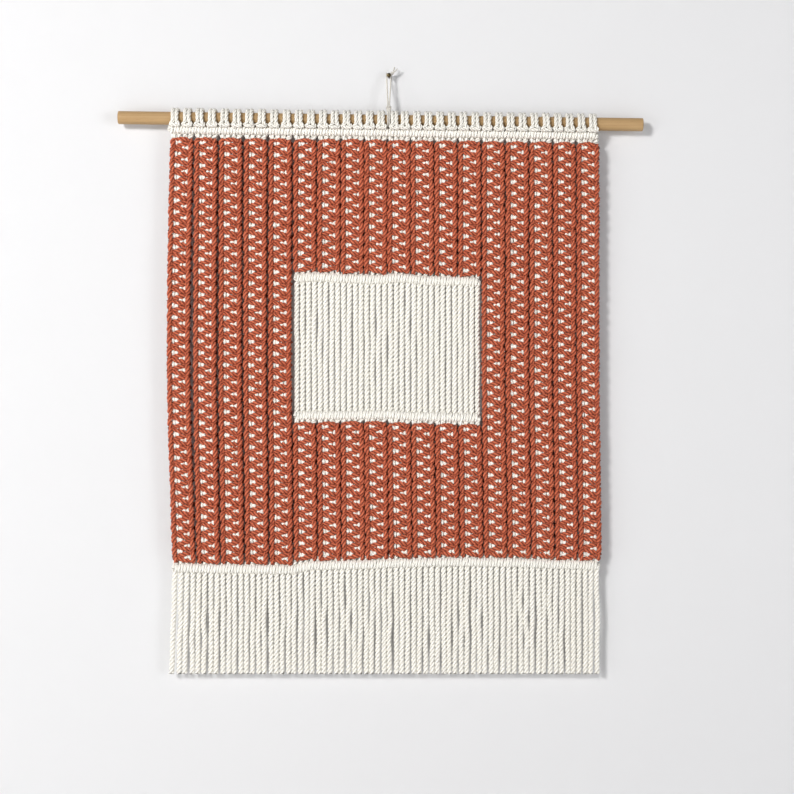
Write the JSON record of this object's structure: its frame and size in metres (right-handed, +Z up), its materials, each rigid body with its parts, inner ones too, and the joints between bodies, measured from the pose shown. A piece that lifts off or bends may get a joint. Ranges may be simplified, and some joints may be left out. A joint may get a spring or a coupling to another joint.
{
  "type": "macrame wall hanging on a wooden dowel",
  "caption": "Macrame wall hanging: cream cotton over a round wooden dowel, columns of rust square knots, an open window of bare strands, a level fringe, and a thin cord hung on a nail.",
  "frame": {"origin": "the nail's point on the wall: the middle of the flat back end of the nail, in the wall's plane", "axes": "+Z up along the cloth's length, +Y into the wall, +X to the right as seen from the front"},
  "size_m": [0.6102, 0.0263, 0.7063],
  "materials": {
    "wood": "bare round rod, sanded, fine straight grain",
    "bronze": "aged bronze nail head, dull",
    "thin_cotton": "thin off-white twisted cotton cord",
    "cream_cotton": "natural cream twisted cotton cord, matt",
    "rust_cotton": "rust dyed twisted cotton cord, matt"
  },
  "bodies": {
    "root": {"dowel": "wood", "wall_nail": "bronze", "hanging_cord": "thin_cotton", "heading": "cream_cotton", "sennit_01": "rust_cotton", "sennit_02": "rust_cotton", "sennit_03": "rust_cotton", "sennit_04": "rust_cotton", "sennit_05": "rust_cotton", "sennit_upper_06": "rust_cotton", "sennit_lower_06": "rust_cotton", "sennit_upper_07": "rust_cotton", "sennit_lower_07": "rust_cotton", "sennit_upper_08": "rust_cotton", "sennit_lower_08": "rust_cotton", "sennit_upper_09": "rust_cotton", "sennit_lower_09": "rust_cotton", "sennit_upper_10": "rust_cotton", "sennit_lower_10": "rust_cotton", "sennit_upper_11": "rust_cotton", "sennit_lower_11": "rust_cotton", "sennit_upper_12": "rust_cotton", "sennit_lower_12": "rust_cotton", "sennit_upper_13": "rust_cotton", "sennit_lower_13": "rust_cotton", "sennit_14": "rust_cotton", "sennit_15": "rust_cotton", "sennit_16": "rust_cotton", "sennit_17": "rust_cotton", "sennit_18": "rust_cotton", "window": "cream_cotton", "fringe": "cream_cotton"}
  },
  "joints": []
}
